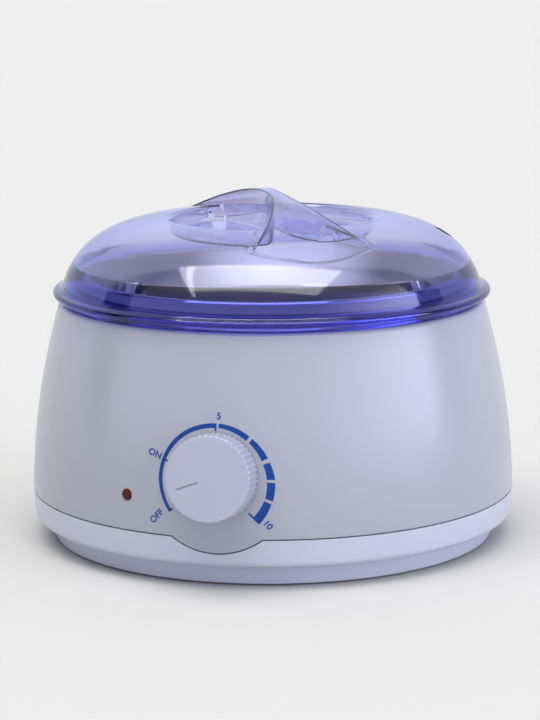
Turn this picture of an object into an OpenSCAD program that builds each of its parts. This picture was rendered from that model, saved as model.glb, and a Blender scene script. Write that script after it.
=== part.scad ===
// Wax warmer: a round heater with a removable pot under a domed lid.
// Millimetres, +Z up. The origin is on the vertical axis, on the table that the foot ring stands on,
// and the control knob faces -Y.

/* [Casing] */
// Distance from the pot's inner wall out to the seam, the casing's widest place
casing_room = 38.3; // [36:0.1:42]
// Height of the seam between the base and the casing
seam_z = 19.2; // [18.5:0.1:21]
// Width of the open groove that shows as the seam line
seam_gap = 0.5; // [0.3:0.1:0.8]
// How far the edge of the flat top deck lies inside the seam
deck_inset = 11.3; // [9.5:0.1:12.5]
// Height of the deck that carries the lid and the well
deck_z = 91; // [88:0.5:94]
// Power of the curve that the side follows from seam to deck
side_curve = 1.85; // [1.5:0.05:2.2]
// Thickness of the casing's and the base's walls
casing_wall = 2.6; // [2.2:0.1:3.2]
// Radius of the rounded edge round the deck
deck_round = 2; // [1:0.25:2.5]

/* [Base] */
// How far the recessed ring under the bulge lies inside the seam
ring_inset = 8.2; // [6:0.2:10]
// Height of the ring's lower edge over the table
ring_z = 0.8; // [0.5:0.1:1.5]
// Height of the bulge's underside
lip_z = 8.2; // [7.5:0.1:9]
// Radius of the bulge's rounded lower edge
lip_round = 2.5; // [1.5:0.25:3.5]
// How far the bulge's lower edge lies inside the seam
lip_inset = 0.4; // [0:0.1:1]
// Height of the floor plate's underside
floor_z = 3; // [2.8:0.1:3.6]
// Thickness of the floor plate
floor_t = 2.5; // [2:0.1:3]
// Width of the rubber ring that the warmer stands on
foot_w = 6; // [4:0.25:6.5]
// Height of the rubber ring
foot_h = 2.2; // [1.8:0.1:2.6]
// Number of vent slots in the floor
vent_slots = 20; // [8:2:24]
// Width of each vent slot
vent_slot_w = 2.4; // [1.5:0.1:3]

/* [Dial] */
// Height of the dial's centre on the casing
dial_z = 41.7; // [40:0.1:44]
// Tilt of the dial's axis above the horizontal
dial_tilt = 7.5; // [4:0.5:10]
// Radius of the round tab in the seam below the dial
tab_r = 28; // [26.5:0.25:29]
// Radius of the control knob
knob_r = 15.5; // [14.5:0.25:17]
// Depth of the knob from its open edge to its face
knob_h = 12; // [11:0.25:14]
// Gap between the casing and the knob's open edge
knob_gap = 1.2; // [0.8:0.1:2]
// Thickness of the knob's skirt
knob_wall = 1.6; // [1.2:0.1:2]
// Thickness of the knob's face
knob_face = 2; // [1.5:0.1:2.5]
// Number of flutes round the knob
flutes = 48; // [36:2:60]
// Direction of the pointer at rest, counterclockwise from the right
pointer_angle = 200; // [180:5:220]
// Radius of the thermostat's shaft
shaft_r = 3; // [2.5:0.1:3.5]

/* [Lamp] */
// Height of the indicator lamp
lamp_z = 32; // [30:0.5:36]
// Angle of the lamp from the dial, round the axis
lamp_angle = 22; // [20:1:26]
// Radius of the lamp's lens
lamp_r = 2.1; // [1.8:0.1:2.6]

/* [Well and pot] */
// Inner radius of the pot
pot_r = 54.2; // [52:0.2:55]
// Thickness of the pot's wall
pot_wall = 1.1; // [0.8:0.1:1.4]
// Height of the pot's rim over the table
pot_rim_z = 86.6; // [86:0.1:87.5]
// Radial gap between the pot and the well
pot_clear = 2.7; // [2:0.1:3]
// Height of the well's inner bottom, on which the pot stands
well_floor_z = 24; // [23.5:0.1:27]
// Thickness of the well's wall
well_wall = 1.6; // [1.2:0.1:1.8]
// Height of the well's rolled top edge over the deck
neck_h = 10.2; // [9:0.1:11]
// Radius of the bail's pins
bail_wire_r = 1.5; // [1.25:0.05:1.75]

/* [Heater] */
// Inner radius of the heater ring
heater_in_r = 24; // [20:1:28]
// How far the heater ring lies inside the well's wall
heater_inset = 14; // [12.5:0.5:18]
// Height of the heater ring
heater_h = 5.4; // [4.5:0.1:6]
// Thickness of the strap that presses the heater up
strap_t = 1.5; // [1.2:0.1:2]
// Width of the strap
strap_w = 14; // [12:1:16]
// Radius of the well's threaded stud
stud_r = 2.5; // [2:0.25:3]

/* [Lid] */
// How far the lid's rolled flange reaches past the deck's edge
flange_out = 2.4; // [2:0.1:4]
// Height of the flange
flange_h = 3.8; // [3:0.1:4.2]
// Height of the skirt from the deck to the crease below the dome
skirt_h = 11; // [10:0.25:12]
// How far the side that the dome would have at its spring line lies inside the flange
dome_inset = 1.3; // [1:0.1:2]
// Height of the dome's spring line under the deck, where its side would stand upright
spring_drop = 7.7; // [7:0.1:8.5]
// Height of the dome over its spring line
dome_h = 39.6; // [38.5:0.1:42]
// Thickness of the lid's wall
lid_wall = 2.2; // [1.8:0.1:2.4]
// Height of the grip's crown over the top of the dome
grip_rise = 9.3; // [8:0.1:11]
// Radius of the ball that the grip's crown is part of
crown_r = 139; // [136:0.5:141]
// Half width of the grip at its waist
waist = 2.6; // [2.4:0.1:3.5]
// Radius of the two hollowed sides of the grip
scoop_r = 93; // [90:1:96]
// Radius of the two finger pits from the axis
pit_r = 43; // [40:0.5:46]
// Depth of the finger pits under the top of the dome
pit_depth = 6.6; // [5:0.1:8]
// Direction of the grip, round the axis from the dial
grip_angle = 27.5; // [0:2.5:90]
// Radius of the steam vent in the dome
vent_r = 3.7; // [2.5:0.1:4]
// Direction of the steam vent, round the axis from the dial
vent_angle = 104; // [90:2:150]

/* [Hidden] */
$fn = 96;

// Clearances
fit = 0.05;        // between a screw, pin or shaft and its hole
play = 0.2;        // between pieces that are only located by each other
rest_gap = 0.3;    // between curved faces of pieces that move apart
touch = 0.05;      // between a lead's end and the face that it meets
bite = 0.5;        // how far joined shapes of one piece run into each other
over = 1;          // how far a cut reaches past the face that it opens
cut_r = 200;       // radius and height of a cut or a slice that takes in the whole warmer

// Side of the casing and the bulge of the base
side_steps = 16;
belly_r = pot_r + casing_room;
shoulder_r = belly_r - deck_inset;
bulge_r = belly_r - lip_inset;
bulge_z = lip_z + lip_round;
function skin_r(z) =
    z < seam_z
        ? belly_r - lip_inset * (seam_z - z) / (seam_z - bulge_z)
        : belly_r - deck_inset * pow((z - seam_z) / (deck_z - seam_z), side_curve);
floor_top = floor_z + floor_t;
ring_r = belly_r - ring_inset;
ring_in_r = ring_r - casing_wall;
tongue_t = 1.4;
tongue_h = 2.5;
tongue_rise = 3;
tongue_root = 1.2;
tongue_r = bulge_r - casing_wall - play;
tongue_top_z = seam_z + tongue_rise;

// Screws
screw_r = 1.45;
screw_head_r = 3;
screw_head_h = 2;
small_screw_r = 1.2;
small_head_r = 2.35;
base_screw_l = 24;
strap_screw_l = 12;
bracket_screw_l = 4.6;
block_screw_l = 12.5;
clamp_screw_l = 17;

// Screw posts that join the base to the casing
post_inset = 16.5;
post_r = belly_r - post_inset;
post_angles = [45, 135, 225, 315];
post_outer = 4.2;
post_seat_z = 9;
post_top_z = 46;
post_pilot = 16;
counterbore_r = screw_head_r + 2 * play;
rib_t = 2;

// Rubber ring in its seat, inside the screw posts' openings
foot_edge = 0.8;
foot_ring_r = post_r - counterbore_r - 2 * foot_edge - foot_w / 2;

// Vent slots in the floor, and the heat shield over them
slot_in_r = 16;
slot_l = 18;
shield_post_angles = [30, 150, 270];
shield_post_gap = 3;
shield_post_r = 3;
shield_pin_r = 1.2;
shield_pin_end = 1.2;
shield_post_ring = slot_in_r + slot_l + shield_post_gap + shield_post_r;
shield_gap = 3.9;
shield_t = 0.6;

// Well, from the pot outwards and from its floor upwards
pot_lip_gap = 0.5;
ledge_w = 4.2;
ledge_free = 1.4;
well_r = pot_r + pot_wall + pot_clear;
well_corner = 2.5;
well_under_z = well_floor_z - well_wall;
ledge_z = pot_rim_z - pot_wall - pot_lip_gap;
neck_top_z = deck_z + neck_h;
sleeve_t = 2.5;
sleeve_start = 6;
sleeve_end = 2;
sleeve_r = well_r + well_wall + play;

// Pot, its ears and its bail
pot_corner = 3;
pot_lip_w = ledge_w - ledge_free + pot_clear;
bead_r = 1.1;
bead_drop = 0.1;
bead_ring_r = pot_r + pot_wall + pot_lip_w - bead_r;
bail_z = pot_rim_z - bead_drop + bead_r + rest_gap + bail_wire_r;
bail_inset = 2;
bail_r = bead_ring_r - bail_inset;
bail_thin = 0.2;
bail_pin_in = 1.6;
bail_bore = 0.07;
ear_t = 1.2;
ear_eye_r = 4.6;
ear_h = 14;
ear_room = 6;
ear_x = sqrt(pot_r * pot_r - ear_room * ear_room) - ear_t - play;
rivet_r = 1.2;
rivet_head_r = 2;
rivet_head_t = 0.8;
rivet_low = 11;
rivet_high = 6;

// Heater stack under the well
heater_out_r = well_r - heater_inset;
strap_top_z = well_under_z - heater_h;
strap_end_inset = 14.5;
strap_end_r = belly_r - strap_end_inset;
strap_end_trim = 1;
strap_pilot = 14;
stud_past = 4.5;
stud_end_z = strap_top_z - strap_t - stud_past;
nut_h = 3.8;
nut_size = 1.85;
blade_w = 4.8;
blade_t = 0.8;
heater_blade_l = 8.5;
heater_blade_angles = [250, 290];

// Thermal fuse in its clip, under the rim of the well's floor
fuse_angle = 135;
fuse_inset = 8;
fuse_ring_r = well_r - fuse_inset;
fuse_r = 2.8;
fuse_l = 24;
fuse_wire_r = 0.6;
fuse_wire_l = 5;
fuse_z = well_under_z - fuse_r - rest_gap;
clip_w = 8;
clip_t = 1;

// Dome of the lid
flange_r = shoulder_r + flange_out;
dome_r = flange_r - dome_inset;
spring_z = deck_z - spring_drop;
dome_power = 5;
dome_steps = 20;
top_z = spring_z + dome_h;
function dome_top(r, wall) =
    spring_z + (dome_h - wall) * sqrt(max(0, 1 - pow(r / (dome_r - wall), dome_power)));
function dome_side(z, wall) =
    (dome_r - wall) * pow(1 - pow((z - spring_z) / (dome_h - wall), 2), 1 / dome_power);
crease_z = deck_z + skirt_h;
skirt_inset = 3.1;
skirt_r = flange_r - skirt_inset;
crease_fillet = 0.5;
neck_r = dome_side(neck_top_z, lid_wall) - rest_gap - play;

// Neck of the well: a funnel inside a collar that stands on the edge of the deck
funnel_low_r = well_r + ledge_w;
roll_r = well_wall * 0.72;
roll_z = neck_top_z - roll_r;
funnel_top_r = neck_r - 2 * roll_r;
funnel_slope = atan2(roll_z - ledge_z, funnel_top_r - funnel_low_r);
channel_r = neck_r - well_wall;
funnel_back_r = funnel_low_r + (deck_z - ledge_z) / tan(funnel_slope) + well_wall / sin(funnel_slope);
neck_seat = 0.45;
deck_in_r = channel_r - neck_seat * (channel_r - funnel_back_r);

// Grip, finger pits and vent
crown_z = top_z + grip_rise - crown_r;
crown_inset = 18.3;
crown_end_r = dome_r - crown_inset;
grip_root = 2;
hollow_start = 15;
pit_z = top_z - pit_depth;
vent_inset = 16.3;
vent_ring_r = dome_r - vent_inset;
vent_cut = 10;
vent_tilt = atan2(dome_top(vent_ring_r - vent_r, 0) - dome_top(vent_ring_r + vent_r, 0), 2 * vent_r);

// Dial parts, measured along the dial's axis from the casing's face, outwards
dial_y = -skin_r(dial_z);
boss_u = 17;
boss_r = 3.4;
boss_end = 3;
boss_pilot = 4;
bracket_w = -8;
bracket_t = 1.2;
bracket_half = 6;
bracket_mid_r = 9;
bracket_end_r = 5;
bushing_r = 4.8;
bushing_gap = 0.5;
bushing_drop = 0.6;
body_w = 22;
body_h = 20;
body_depth = 14;
body_back = bracket_w - bracket_t - body_depth;
shaft_start = body_back + 0.2 * body_depth;
blade_u = 6;
blade_l = 5;
blade_back = body_back + 0.3 * body_depth;
hub_r = 5.6;
hub_short = 0.6;
shaft_short = 1.6;
shaft_bore = 0.03;
knob_out = knob_gap + knob_h;
shaft_out = knob_out - knob_face - shaft_short;
knob_round = 1.2;
flute_r = 0.85;
flute_depth = 0.43;
pointer_in = 3.5;
pointer_l = 8.2;
pointer_w = 0.7;
pointer_depth = 0.5;

// Lamp parts, measured from the casing's face, outwards
lens_bulge = 0.9;
lens_stand = 0.1;
lens_depth = 4.2;
lens_shoulder = 1;
lamp_boss_t = 1.3;
lamp_boss_l = 11;
neon_l = 10;

// Cord entry at the back, centred on the seam: a bush with a square waist
cord_r = 3.3;
gland_half = 4.6;
gland_flange_r = 7.2;
gland_lip = 1.8;
gland_stand = 0.1;
gland_out_y = belly_r + gland_stand;
gland_in_y = belly_r - casing_wall - 2 * play - tongue_t;

// Cord clamp on two bosses, and the terminal block inside it
clamp_y = post_r;
clamp_u = 8;
clamp_boss_r = 3.2;
clamp_l = 23;
clamp_d = 7;
clamp_h = 7.5;
clamp_drop = 1.7;
saddle_l = 5;
saddle_d = 6;
block_gap = 1;
block_l = 30;
block_d = 11;
block_h = 8;
block_lift = 4;
block_boss_r = 4;
block_hole_r = 1.6;
block_hole_z = 3.5;
block_near_u = 5;
block_far_u = 11;
block_ring_r = clamp_y - clamp_d / 2 - block_gap - block_d / 2;
shield_clear = 4.5;
shield_r = block_ring_r - block_d / 2 - shield_clear;

module at_dial() {
    translate([0, dial_y, dial_z]) rotate([90 - dial_tilt, 0, 0]) children();
}

// Faces a child's +Z away from the axis, at a point on the casing
module at_lamp() {
    rotate(-lamp_angle) translate([0, -skin_r(lamp_z), lamp_z]) rotate([90, 0, 0]) children();
}

module ring_of(radius, angles) {
    for (a = angles) rotate(a) translate([radius, 0, 0]) children();
}

module tube(outer, inner, height) {
    difference() {
        cylinder(r = outer, h = height);
        translate([0, 0, -over]) cylinder(r = inner, h = height + 2 * over);
    }
}

// A pan-head screw that points along +Z, with its head below z = 0
module screw(length, radius = screw_r, head = screw_head_r) {
    translate([0, 0, -screw_head_h]) cylinder(r = head, h = screw_head_h);
    cylinder(r = radius, h = length);
}

// Space that belongs to the casing: all above the seam, and the tab below the dial.
// A positive grow reaches further down on both.
module casing_side(grow = 0) {
    translate([-cut_r, -cut_r, seam_z - grow]) cube([2 * cut_r, 2 * cut_r, cut_r]);
    translate([0, 0, dial_z]) rotate([90, 0, 0]) cylinder(r = tab_r + grow, h = cut_r);
}

// Square notch of the cord entry, half in the casing and half in the base
module cord_notch() {
    half = gland_half + play;
    translate([-half, gland_in_y - 2 * gland_lip, seam_z - half]) cube([2 * half, cut_r, 2 * half]);
}

module casing_shell() {
    side_top = deck_z - deck_round;
    low = bulge_z;
    levels = [for (i = [0:side_steps]) low + (side_top - low) * i / side_steps];
    edge_r = skin_r(side_top);
    rotate_extrude()
        polygon(concat(
            [for (z = levels) [skin_r(z), z]],
            [for (a = [22.5:22.5:90])
                [edge_r - deck_round + deck_round * cos(a), side_top + deck_round * sin(a)]],
            [[deck_in_r, deck_z], [deck_in_r, deck_z - casing_wall]],
            [for (i = [side_steps:-1:0])
                [skin_r(levels[i]) - casing_wall, min(levels[i], deck_z - casing_wall)]]
        ));
}

module casing_posts() {
    post_h = post_top_z - seam_z;
    ring_of(post_r, post_angles) translate([0, 0, seam_z]) {
        cylinder(r = post_outer, h = post_h);
        translate([0, -rib_t / 2, 0])
            cube([skin_r(post_top_z) - post_r - casing_wall / 2, rib_t, post_h]);
    }
    ring_of(strap_end_r, [0, 180]) translate([0, 0, strap_top_z]) {
        cylinder(r = post_outer, h = post_top_z - strap_top_z);
        translate([0, -rib_t / 2, seam_z - strap_top_z + bite])
            cube([skin_r(post_top_z) - strap_end_r - casing_wall / 2, rib_t, post_h - bite]);
    }
}

module casing_tongue() {
    intersection() {
        translate([0, 0, bulge_z])
            tube(tongue_r + tongue_root, tongue_r - tongue_t + play, tongue_top_z - bulge_z);
        casing_side();
    }
    intersection() {
        translate([0, 0, bulge_z])
            tube(tongue_r, tongue_r - tongue_t, tongue_top_z - bulge_z - 2 * play);
        casing_side(tongue_h);
    }
}

module upper_casing() color([0.90, 0.91, 0.95]) {
    lamp_bore_r = lamp_r + lens_shoulder + play;
    difference() {
        union() {
            intersection() {
                casing_shell();
                casing_side();
            }
            // Locating tongue that reaches down inside the base
            casing_tongue();
            casing_posts();
            // Bosses of the thermostat's bracket
            at_dial() for (u = [-boss_u, boss_u])
                translate([u, 0, bracket_w]) cylinder(r = boss_r, h = -bracket_w - boss_end);
            // Sleeve of the indicator lamp
            at_lamp() translate([0, 0, -lamp_boss_l])
                cylinder(r = lamp_bore_r + lamp_boss_t, h = lamp_boss_l - casing_wall / 2);
        }
        // Pilot holes
        ring_of(post_r, post_angles)
            translate([0, 0, seam_z - over]) cylinder(r = screw_r + fit, h = post_pilot + over);
        ring_of(strap_end_r, [0, 180])
            translate([0, 0, strap_top_z - over]) cylinder(r = screw_r + fit, h = strap_pilot + over);
        at_dial() for (u = [-boss_u, boss_u])
            translate([u, 0, bracket_w - over]) cylinder(r = screw_r + fit, h = boss_pilot + over);
        // Holes of the dial's bushing and of the lamp
        at_dial() translate([0, 0, bracket_w]) cylinder(r = bushing_r + bushing_gap, h = over - bracket_w);
        at_lamp() translate([0, 0, -casing_wall - over])
            cylinder(r = lamp_r + fit, h = casing_wall + 3 * over);
        at_lamp() translate([0, 0, -lamp_boss_l - over])
            cylinder(r = lamp_bore_r, h = lamp_boss_l + over - casing_wall - play / 2);
        cord_notch();
    }
}

module base_section() {
    polygon(concat(
        [[0, floor_z], [ring_in_r, floor_z], [ring_in_r, ring_z], [ring_r, ring_z],
         [ring_r, lip_z]],
        [for (a = [-90:22.5:0])
            [bulge_r - lip_round + lip_round * cos(a), lip_z + lip_round * (1 + sin(a))]],
        [[belly_r, seam_z - seam_gap], [belly_r - casing_wall, seam_z - seam_gap],
         [bulge_r - casing_wall, bulge_z], [bulge_r - lip_round, lip_z + casing_wall],
         [ring_in_r, lip_z + casing_wall], [ring_in_r, floor_top], [0, floor_top]]
    ));
}

module base() color([0.89, 0.90, 0.94]) {
    rise_z = floor_top - bite;
    difference() {
        union() {
            difference() {
                rotate_extrude() base_section();
                casing_side(seam_gap);
            }
            // Posts that meet the casing's posts
            ring_of(post_r, post_angles)
                translate([0, 0, floor_z]) cylinder(r = post_outer, h = seam_z - floor_z);
            // Seat of the rubber ring
            translate([0, 0, foot_h])
                tube(foot_ring_r + foot_w / 2 + foot_edge, foot_ring_r - foot_w / 2 - foot_edge,
                     floor_z - foot_h + bite);
            // Posts of the heat shield
            ring_of(shield_post_ring, shield_post_angles) translate([0, 0, rise_z]) {
                cylinder(r = shield_post_r, h = shield_gap + bite);
                cylinder(r = shield_pin_r, h = shield_gap + bite + shield_t + shield_pin_end);
            }
            // Boss of the terminal block
            translate([0, block_ring_r, rise_z]) cylinder(r = block_boss_r, h = block_lift + bite);
            // Bosses and saddle of the cord clamp
            for (u = [-clamp_u, clamp_u])
                translate([u, clamp_y, rise_z])
                    cylinder(r = clamp_boss_r, h = seam_z - clamp_drop - rise_z);
            translate([-saddle_l / 2, clamp_y - saddle_d / 2, rise_z])
                cube([saddle_l, saddle_d, seam_z - cord_r - rise_z]);
        }
        // Countersunk holes of the base screws
        ring_of(post_r, post_angles) {
            translate([0, 0, floor_z - over]) cylinder(r = counterbore_r, h = post_seat_z - floor_z + over);
            cylinder(r = screw_r + play, h = seam_z + over);
        }
        // Pilot holes of the terminal screw and the clamp's screws
        translate([0, block_ring_r, floor_top + block_lift + block_h - block_screw_l - bite])
            cylinder(r = small_screw_r + fit, h = block_screw_l);
        for (u = [-clamp_u, clamp_u])
            translate([u, clamp_y, seam_z - clamp_drop + clamp_h - clamp_screw_l - bite])
                cylinder(r = small_screw_r + fit, h = clamp_screw_l);
        // Vent slots
        for (i = [0:vent_slots - 1])
            rotate((i + 0.5) * 360 / vent_slots)
                translate([slot_in_r, -vent_slot_w / 2, floor_z - over])
                    cube([slot_l, vent_slot_w, floor_t + 2 * over]);
        cord_notch();
    }
}

module foot_ring() color([0.22, 0.22, 0.24])
    tube(foot_ring_r + foot_w / 2, foot_ring_r - foot_w / 2, foot_h);

module base_screws() color([0.75, 0.76, 0.78])
    ring_of(post_r, post_angles) translate([0, 0, post_seat_z]) screw(base_screw_l);

module well_section() {
    shift_r = well_wall * sin(funnel_slope);
    shift_z = well_wall * cos(funnel_slope);
    channel_z = ledge_z - shift_z
        + (channel_r - funnel_low_r - shift_r) * tan(funnel_slope);
    polygon(concat(
        [[0, well_floor_z], [well_r - well_corner, well_floor_z],
         [well_r - 0.28 * well_corner, well_floor_z + 0.28 * well_corner],
         [well_r, well_floor_z + well_corner], [well_r, ledge_z], [funnel_low_r, ledge_z]],
        [for (a = [180:-30:0])
            [neck_r - roll_r + roll_r * cos(a), roll_z + roll_r * sin(a)]],
        [[neck_r, deck_z], [channel_r, deck_z], [channel_r, channel_z],
         [funnel_low_r + shift_r - 0.25 * well_wall, ledge_z - well_wall],
         [well_r + well_wall, ledge_z - well_wall],
         [well_r + well_wall, well_floor_z + well_corner],
         [well_r + well_wall - 0.4 * well_corner, well_floor_z],
         [well_r - 0.88 * well_corner, well_under_z], [0, well_under_z]]
    ));
}

module heating_well() color([0.78, 0.79, 0.82]) {
    rotate_extrude() well_section();
    translate([0, 0, stud_end_z]) cylinder(r = stud_r, h = well_under_z - stud_end_z + bite);
}

module well_insulation() color([0.93, 0.92, 0.88])
    translate([0, 0, well_floor_z + sleeve_start])
        tube(sleeve_r + sleeve_t, sleeve_r,
             ledge_z - well_wall - sleeve_end - well_floor_z - sleeve_start);

module heater_ring() color([0.62, 0.62, 0.64]) {
    translate([0, 0, strap_top_z]) tube(heater_out_r, heater_in_r, heater_h);
    // Terminal blades, on the side of the dial
    for (a = heater_blade_angles) rotate(a)
        translate([heater_out_r - bite, -blade_w / 2, strap_top_z + (heater_h - blade_t) / 2])
            cube([heater_blade_l + bite, blade_w, blade_t]);
}

module well_strap() color([0.70, 0.71, 0.72])
    translate([0, 0, strap_top_z - strap_t]) difference() {
        union() {
            translate([-strap_end_r, -strap_w / 2, 0]) cube([2 * strap_end_r, strap_w, strap_t]);
            ring_of(strap_end_r, [0, 180]) cylinder(r = strap_w / 2 - strap_end_trim, h = strap_t);
        }
        translate([0, 0, -over]) cylinder(r = stud_r + play, h = strap_t + 2 * over);
        ring_of(strap_end_r, [0, 180])
            translate([0, 0, -over]) cylinder(r = screw_r + play, h = strap_t + 2 * over);
    }

module strap_nut() color([0.80, 0.74, 0.52])
    translate([0, 0, strap_top_z - strap_t - nut_h]) difference() {
        cylinder(r = stud_r * nut_size, h = nut_h, $fn = 6);
        translate([0, 0, -over]) cylinder(r = stud_r + fit, h = nut_h + 2 * over);
    }

module strap_screws() color([0.75, 0.76, 0.78])
    ring_of(strap_end_r, [0, 180]) translate([0, 0, strap_top_z - strap_t]) screw(strap_screw_l);

module heat_shield() color([0.82, 0.83, 0.85])
    translate([0, 0, floor_top + shield_gap]) difference() {
        cylinder(r = shield_r, h = shield_t);
        ring_of(shield_post_ring, shield_post_angles)
            translate([0, 0, -over]) cylinder(r = shield_pin_r + play, h = shield_t + 2 * over);
    }

// Puts a child's +X along the fuse, with the fuse's middle at the origin
module at_fuse() {
    rotate(fuse_angle) translate([fuse_ring_r, 0, fuse_z]) rotate(-90) children();
}

module thermal_fuse() color([0.88, 0.87, 0.80])
    at_fuse() rotate([0, 90, 0]) {
        cylinder(r = fuse_r, h = fuse_l, center = true);
        cylinder(r = fuse_wire_r, h = fuse_l + 2 * fuse_wire_l, center = true);
    }

module fuse_clip() color([0.72, 0.72, 0.74])
    at_fuse() difference() {
        translate([-clip_w / 2, -fuse_r - clip_t, -fuse_r - clip_t])
            cube([clip_w, 2 * (fuse_r + clip_t), 2 * fuse_r + clip_t + rest_gap]);
        rotate([0, 90, 0]) cylinder(r = fuse_r + fit, h = clip_w + 2 * over, center = true);
    }

module thermostat_body() color([0.20, 0.20, 0.22])
    at_dial() difference() {
        union() {
            translate([-body_w / 2, -body_h / 2, body_back]) cube([body_w, body_h, body_depth]);
            translate([0, 0, body_back + body_depth - bite])
                cylinder(r = bushing_r, h = bite + bracket_t - bracket_w - bushing_drop);
            for (u = [-blade_u, blade_u])
                translate([u - blade_w / 2, -body_h / 2 - blade_l, blade_back])
                    cube([blade_w, blade_l + bite, blade_t]);
        }
        translate([0, 0, shaft_start]) cylinder(r = shaft_r + fit, h = knob_gap - shaft_start);
    }

module thermostat_bracket() color([0.74, 0.75, 0.76])
    at_dial() translate([0, 0, bracket_w - bracket_t]) difference() {
        union() {
            translate([-boss_u, -bracket_half, 0]) cube([2 * boss_u, 2 * bracket_half, bracket_t]);
            for (u = [-boss_u, boss_u]) translate([u, 0, 0]) cylinder(r = bracket_end_r, h = bracket_t);
            cylinder(r = bracket_mid_r, h = bracket_t);
        }
        translate([0, 0, -over]) cylinder(r = bushing_r + fit, h = bracket_t + 2 * over);
        for (u = [-boss_u, boss_u])
            translate([u, 0, -over]) cylinder(r = screw_r + play, h = bracket_t + 2 * over);
    }

module bracket_screws() color([0.75, 0.76, 0.78])
    at_dial() for (u = [-boss_u, boss_u])
        translate([u, 0, bracket_w - bracket_t]) screw(bracket_screw_l);

module thermostat_shaft() color([0.76, 0.74, 0.66])
    at_dial() translate([0, 0, shaft_start]) cylinder(r = shaft_r, h = shaft_out - shaft_start);

module knob_outline() {
    difference() {
        circle(r = knob_r);
        for (i = [0:flutes - 1]) rotate(i * 360 / flutes)
            translate([knob_r - flute_depth + flute_r, 0]) circle(r = flute_r, $fn = 24);
    }
}

module control_knob() color([0.93, 0.93, 0.97])
    at_dial() difference() {
        intersection() {
            translate([0, 0, knob_gap]) linear_extrude(height = knob_h) knob_outline();
            translate([0, 0, knob_gap]) rotate_extrude() polygon(concat(
                [[0, 0], [knob_r + play, 0], [knob_r + play, knob_h - knob_round]],
                [for (a = [30:30:90])
                    [knob_r + play - knob_round * (1 - cos(a)), knob_h - knob_round * (1 - sin(a))]],
                [[0, knob_h]]
            ));
        }
        // Hollow between the skirt and the hub
        translate([0, 0, knob_gap - over])
            tube(knob_r - knob_wall, hub_r, knob_h - knob_face + over);
        // Bore of the hub
        translate([0, 0, knob_gap - over])
            cylinder(r = shaft_r + shaft_bore, h = shaft_out - knob_gap + over + play);
        // Hub's end, clear of the bushing
        translate([0, 0, knob_gap - over]) cylinder(r = hub_r + bite, h = hub_short + over);
        // Pointer groove
        rotate(pointer_angle) translate([pointer_in, -pointer_w / 2, knob_out - pointer_depth])
            cube([pointer_l, pointer_w, 2 * pointer_depth]);
    }

module lamp_lens() color([0.45, 0.05, 0.06])
    at_lamp() rotate_extrude() polygon(concat(
        [[0, -lens_depth], [lamp_r + lens_shoulder, -lens_depth],
         [lamp_r + lens_shoulder, -casing_wall - play], [lamp_r, -casing_wall - play]],
        [for (a = [0:18:90]) [lamp_r * cos(a), lens_stand + lens_bulge * sin(a)]]
    ));

module neon_lamp() color([0.85, 0.62, 0.45])
    at_lamp() translate([0, 0, -lens_depth - neon_l]) cylinder(r = lamp_r + lens_shoulder, h = neon_l);

module terminal_block() color([0.92, 0.91, 0.86])
    translate([0, block_ring_r, floor_top + block_lift]) difference() {
        translate([-block_l / 2, -block_d / 2, 0]) cube([block_l, block_d, block_h]);
        translate([0, 0, -over]) cylinder(r = small_screw_r + play, h = block_h + 2 * over);
        for (u = [-block_far_u, -block_near_u, block_near_u, block_far_u])
            translate([u, 0, block_hole_z]) cylinder(r = block_hole_r, h = block_h);
    }

module terminal_screw() color([0.75, 0.76, 0.78])
    translate([0, block_ring_r, floor_top + block_lift + block_h])
        mirror([0, 0, 1]) screw(block_screw_l, small_screw_r, small_head_r);

module cord_gland() color([0.86, 0.87, 0.90])
    translate([0, 0, seam_z]) rotate([-90, 0, 0]) difference() {
        union() {
            translate([-gland_half, -gland_half, gland_in_y - gland_lip])
                cube([2 * gland_half, 2 * gland_half, gland_out_y - gland_in_y + gland_lip + bite]);
            translate([0, 0, gland_in_y - gland_lip - 2 * play])
                cylinder(r = gland_flange_r, h = gland_lip - play);
            translate([0, 0, gland_out_y]) cylinder(r = gland_flange_r, h = gland_lip);
        }
        translate([0, 0, gland_in_y - 2 * gland_lip])
            cylinder(r = cord_r, h = gland_out_y - gland_in_y + 4 * gland_lip);
    }

module cord_clamp() color([0.90, 0.90, 0.88])
    translate([0, clamp_y, seam_z]) difference() {
        translate([-clamp_l / 2, -clamp_d / 2, -clamp_drop]) cube([clamp_l, clamp_d, clamp_h]);
        rotate([90, 0, 0]) cylinder(r = cord_r, h = clamp_d + 2 * over, center = true);
        translate([-cord_r, -clamp_d / 2 - over, -cord_r]) cube([2 * cord_r, clamp_d + 2 * over, cord_r]);
        for (u = [-clamp_u, clamp_u])
            translate([u, 0, -clamp_drop - over])
                cylinder(r = small_screw_r + play, h = clamp_h + 2 * over);
    }

module clamp_screws() color([0.75, 0.76, 0.78])
    for (u = [-clamp_u, clamp_u])
        translate([u, clamp_y, seam_z - clamp_drop + clamp_h])
            mirror([0, 0, 1]) screw(clamp_screw_l, small_screw_r, small_head_r);

// Insulated lead: a thin tube swept along a list of points
lead_r = 1.1;
thin_lead_r = 0.8;
lead_sides = 8;
function unit(v) = v / norm(v);
function lead_dir(p, i) = unit(
    i == 0 ? p[1] - p[0] : i == len(p) - 1 ? p[i] - p[i - 1] : p[i + 1] - p[i - 1]);
function lead_side(d) = unit(cross(d, abs(d[2]) > 0.9 ? [1, 0, 0] : [0, 0, 1]));
function lead_ring(p, i, r) = let (d = lead_dir(p, i), u = lead_side(d), v = cross(d, u))
    [for (k = [0:lead_sides - 1]) p[i] + r * cos(k * 360 / lead_sides) * u
                                       + r * sin(k * 360 / lead_sides) * v];

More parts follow.
